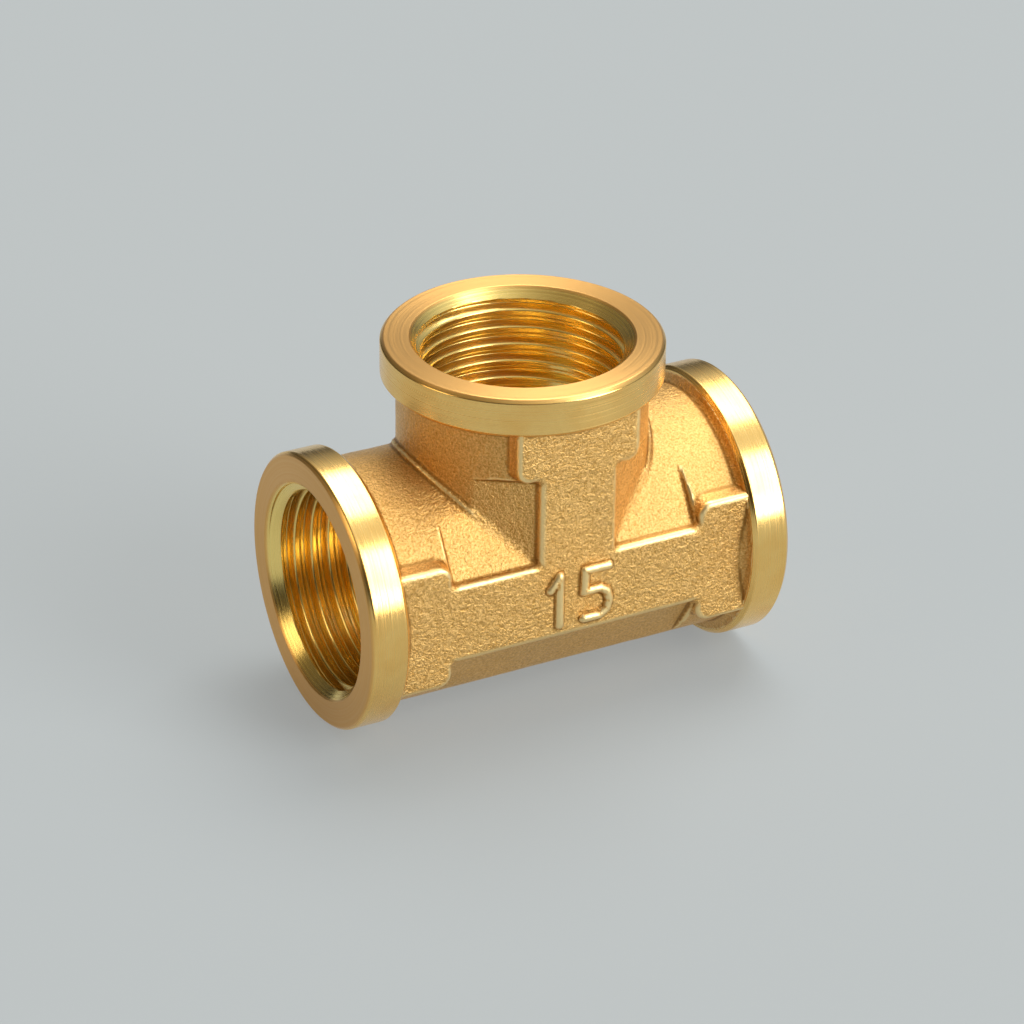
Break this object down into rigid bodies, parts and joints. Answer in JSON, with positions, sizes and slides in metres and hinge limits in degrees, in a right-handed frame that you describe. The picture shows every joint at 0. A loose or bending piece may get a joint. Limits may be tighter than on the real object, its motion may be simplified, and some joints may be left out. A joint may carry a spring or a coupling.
{
  "type": "female threaded tee pipe fitting",
  "caption": "Equal tee fitting for half-inch pipe, forged in one piece of brass, with parallel internal pipe threads in turned collars and flat spanner pads front and back.",
  "frame": {"origin": "Middle of the part's base: under the crossing of the port axes, at the height of the lowest points of the run collars, which are what the fitting stands on.", "axes": "+X runs along the straight run through the two opposite ports, +Z points out of the branch port, and +Y points to the back. The die line of the forging is the XZ plane."},
  "size_m": [0.0444, 0.027, 0.0357],
  "materials": {
    "forged_brass": "shot-blasted hot-forged skin with a fine even grain",
    "turned_brass": "bright turned collars, port faces, chamfers and threads with fine tool marks"
  },
  "bodies": {
    "root": {"tee_body": "forged_brass"}
  },
  "joints": []
}
